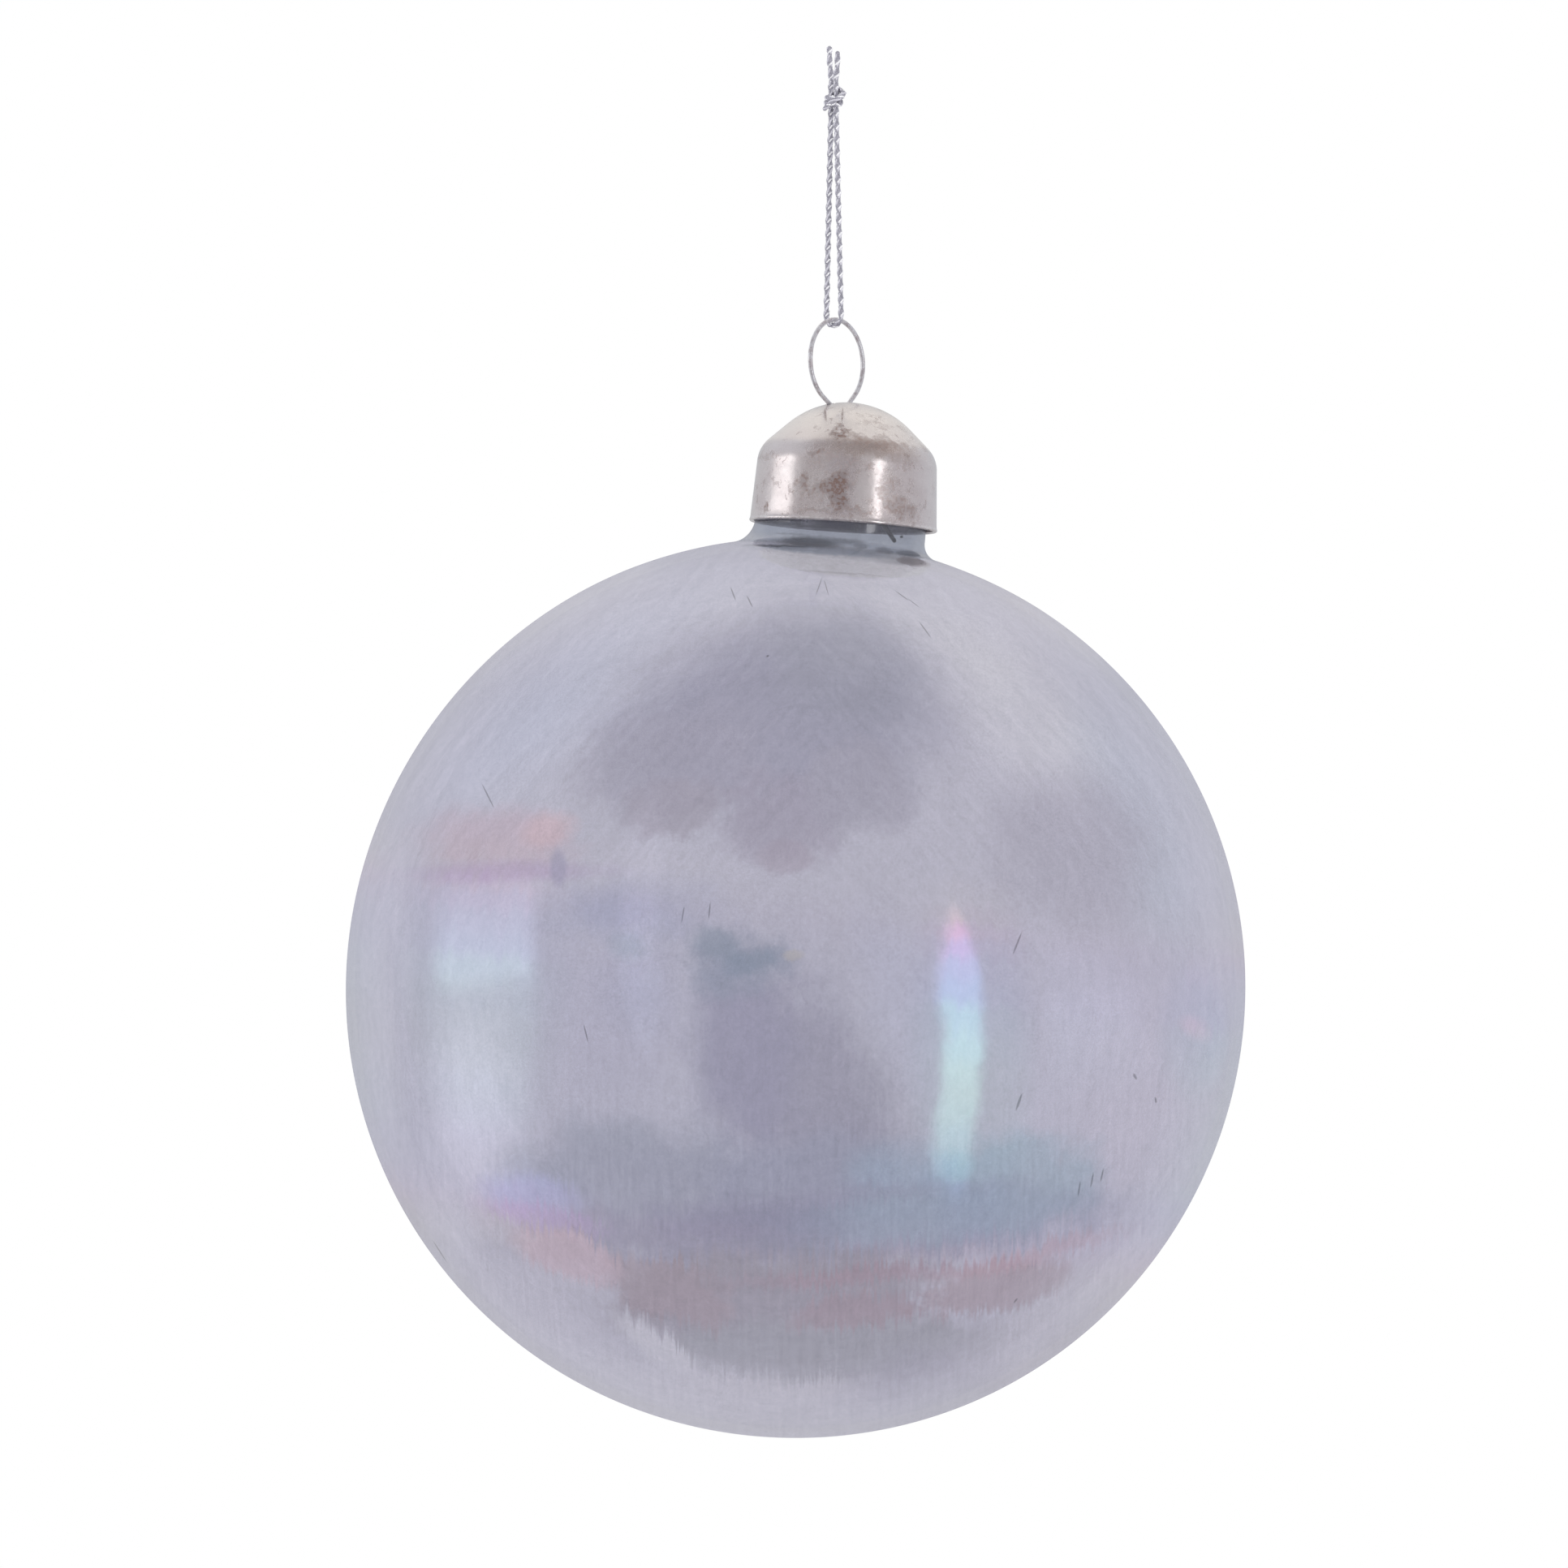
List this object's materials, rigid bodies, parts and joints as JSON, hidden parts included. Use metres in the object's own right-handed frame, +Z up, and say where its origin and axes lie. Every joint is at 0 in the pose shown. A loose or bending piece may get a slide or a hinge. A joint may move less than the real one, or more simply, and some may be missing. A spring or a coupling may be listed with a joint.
{
  "type": "glass ball ornament",
  "caption": "Hollow smoky-lustre glass ball ornament with an open neck, a sprung metal dome cap, a wire hanging ring and a knotted metallic cord loop.",
  "frame": {"origin": "the ball's lowest point, on the ball's axis", "axes": "+Z up along the ball's and the neck's axis; -Y is the side seen from the front; the loose cap, the ring and the cord lean towards -X"},
  "size_m": [0.1, 0.1, 0.155],
  "materials": {
    "glass": "blown glass, smoky lavender-grey with an iridescent lustre coat",
    "cap_metal": "bright warm-silver plating, softly reflecting, lightly tarnished",
    "spring_wire": "drawn spring wire, darkened",
    "cord": "braided metallic silver thread"
  },
  "bodies": {
    "ball": {"glass_ball": "glass"},
    "cap": {"cap_shell": "cap_metal"},
    "hanger": {"hanger_ring": "spring_wire"},
    "leg_left": {"hanger_leg_left": "spring_wire"},
    "leg_right": {"hanger_leg_right": "spring_wire"},
    "cord_loop_end": {"cord_bight": "cord"},
    "cord_low": {"cord_lower": "cord"},
    "cord_mid": {"cord_middle": "cord"},
    "cord_top": {"cord_upper": "cord", "cord_knot": "cord", "cord_tails": "cord"}
  },
  "joints": [
    {"name": "cap_pull", "type": "slide", "parent": "ball", "child": "cap", "axis": [0, 0, 1], "range_m": [0, 0.014]},
    {"name": "hanger_rock", "type": "hinge", "parent": "cap", "child": "hanger", "pos_m": [-0.00167, 0, 0.11515], "axis": [0.604, 0.7803, 0.1622], "range_deg": [-4, 10]},
    {"name": "leg_left_flex", "type": "hinge", "parent": "hanger", "child": "leg_left", "pos_m": [-0.00196, -0.00049, 0.11432], "axis": [0.8371, -0.5364, 0.1074], "range_deg": [0, 18], "stiffness_Nm_per_rad": 0.02, "springref_deg": -5.73},
    {"name": "leg_right_flex", "type": "hinge", "parent": "hanger", "child": "leg_right", "pos_m": [-0.00113, 0.00059, 0.11454], "axis": [-0.6615, 0.7474, -0.0614], "range_deg": [0, 18], "stiffness_Nm_per_rad": 0.02, "springref_deg": -5.73},
    {"name": "cord_swing", "type": "hinge", "parent": "hanger", "child": "cord_loop_end", "pos_m": [-0.0033, -0.00068, 0.12449], "axis": [0.604, 0.7803, 0.1622], "range_deg": [-110, 110]},
    {"name": "cord_lean", "type": "hinge", "parent": "cord_loop_end", "child": "cord_low", "pos_m": [-0.00348, -0.00068, 0.12619], "axis": [-0.7785, 0.6225, -0.0804], "range_deg": [-45, 45]},
    {"name": "cord_bend", "type": "hinge", "parent": "cord_low", "child": "cord_mid", "pos_m": [-0.0042, -0.00068, 0.13318], "axis": [-0.7785, 0.6225, -0.0804], "range_deg": [-60, 60]},
    {"name": "cord_twist", "type": "hinge", "parent": "cord_mid", "child": "cord_top", "pos_m": [-0.00496, -0.00068, 0.1405], "axis": [-0.1028, 0, 0.9947], "range_deg": [-180, 180]}
  ]
}
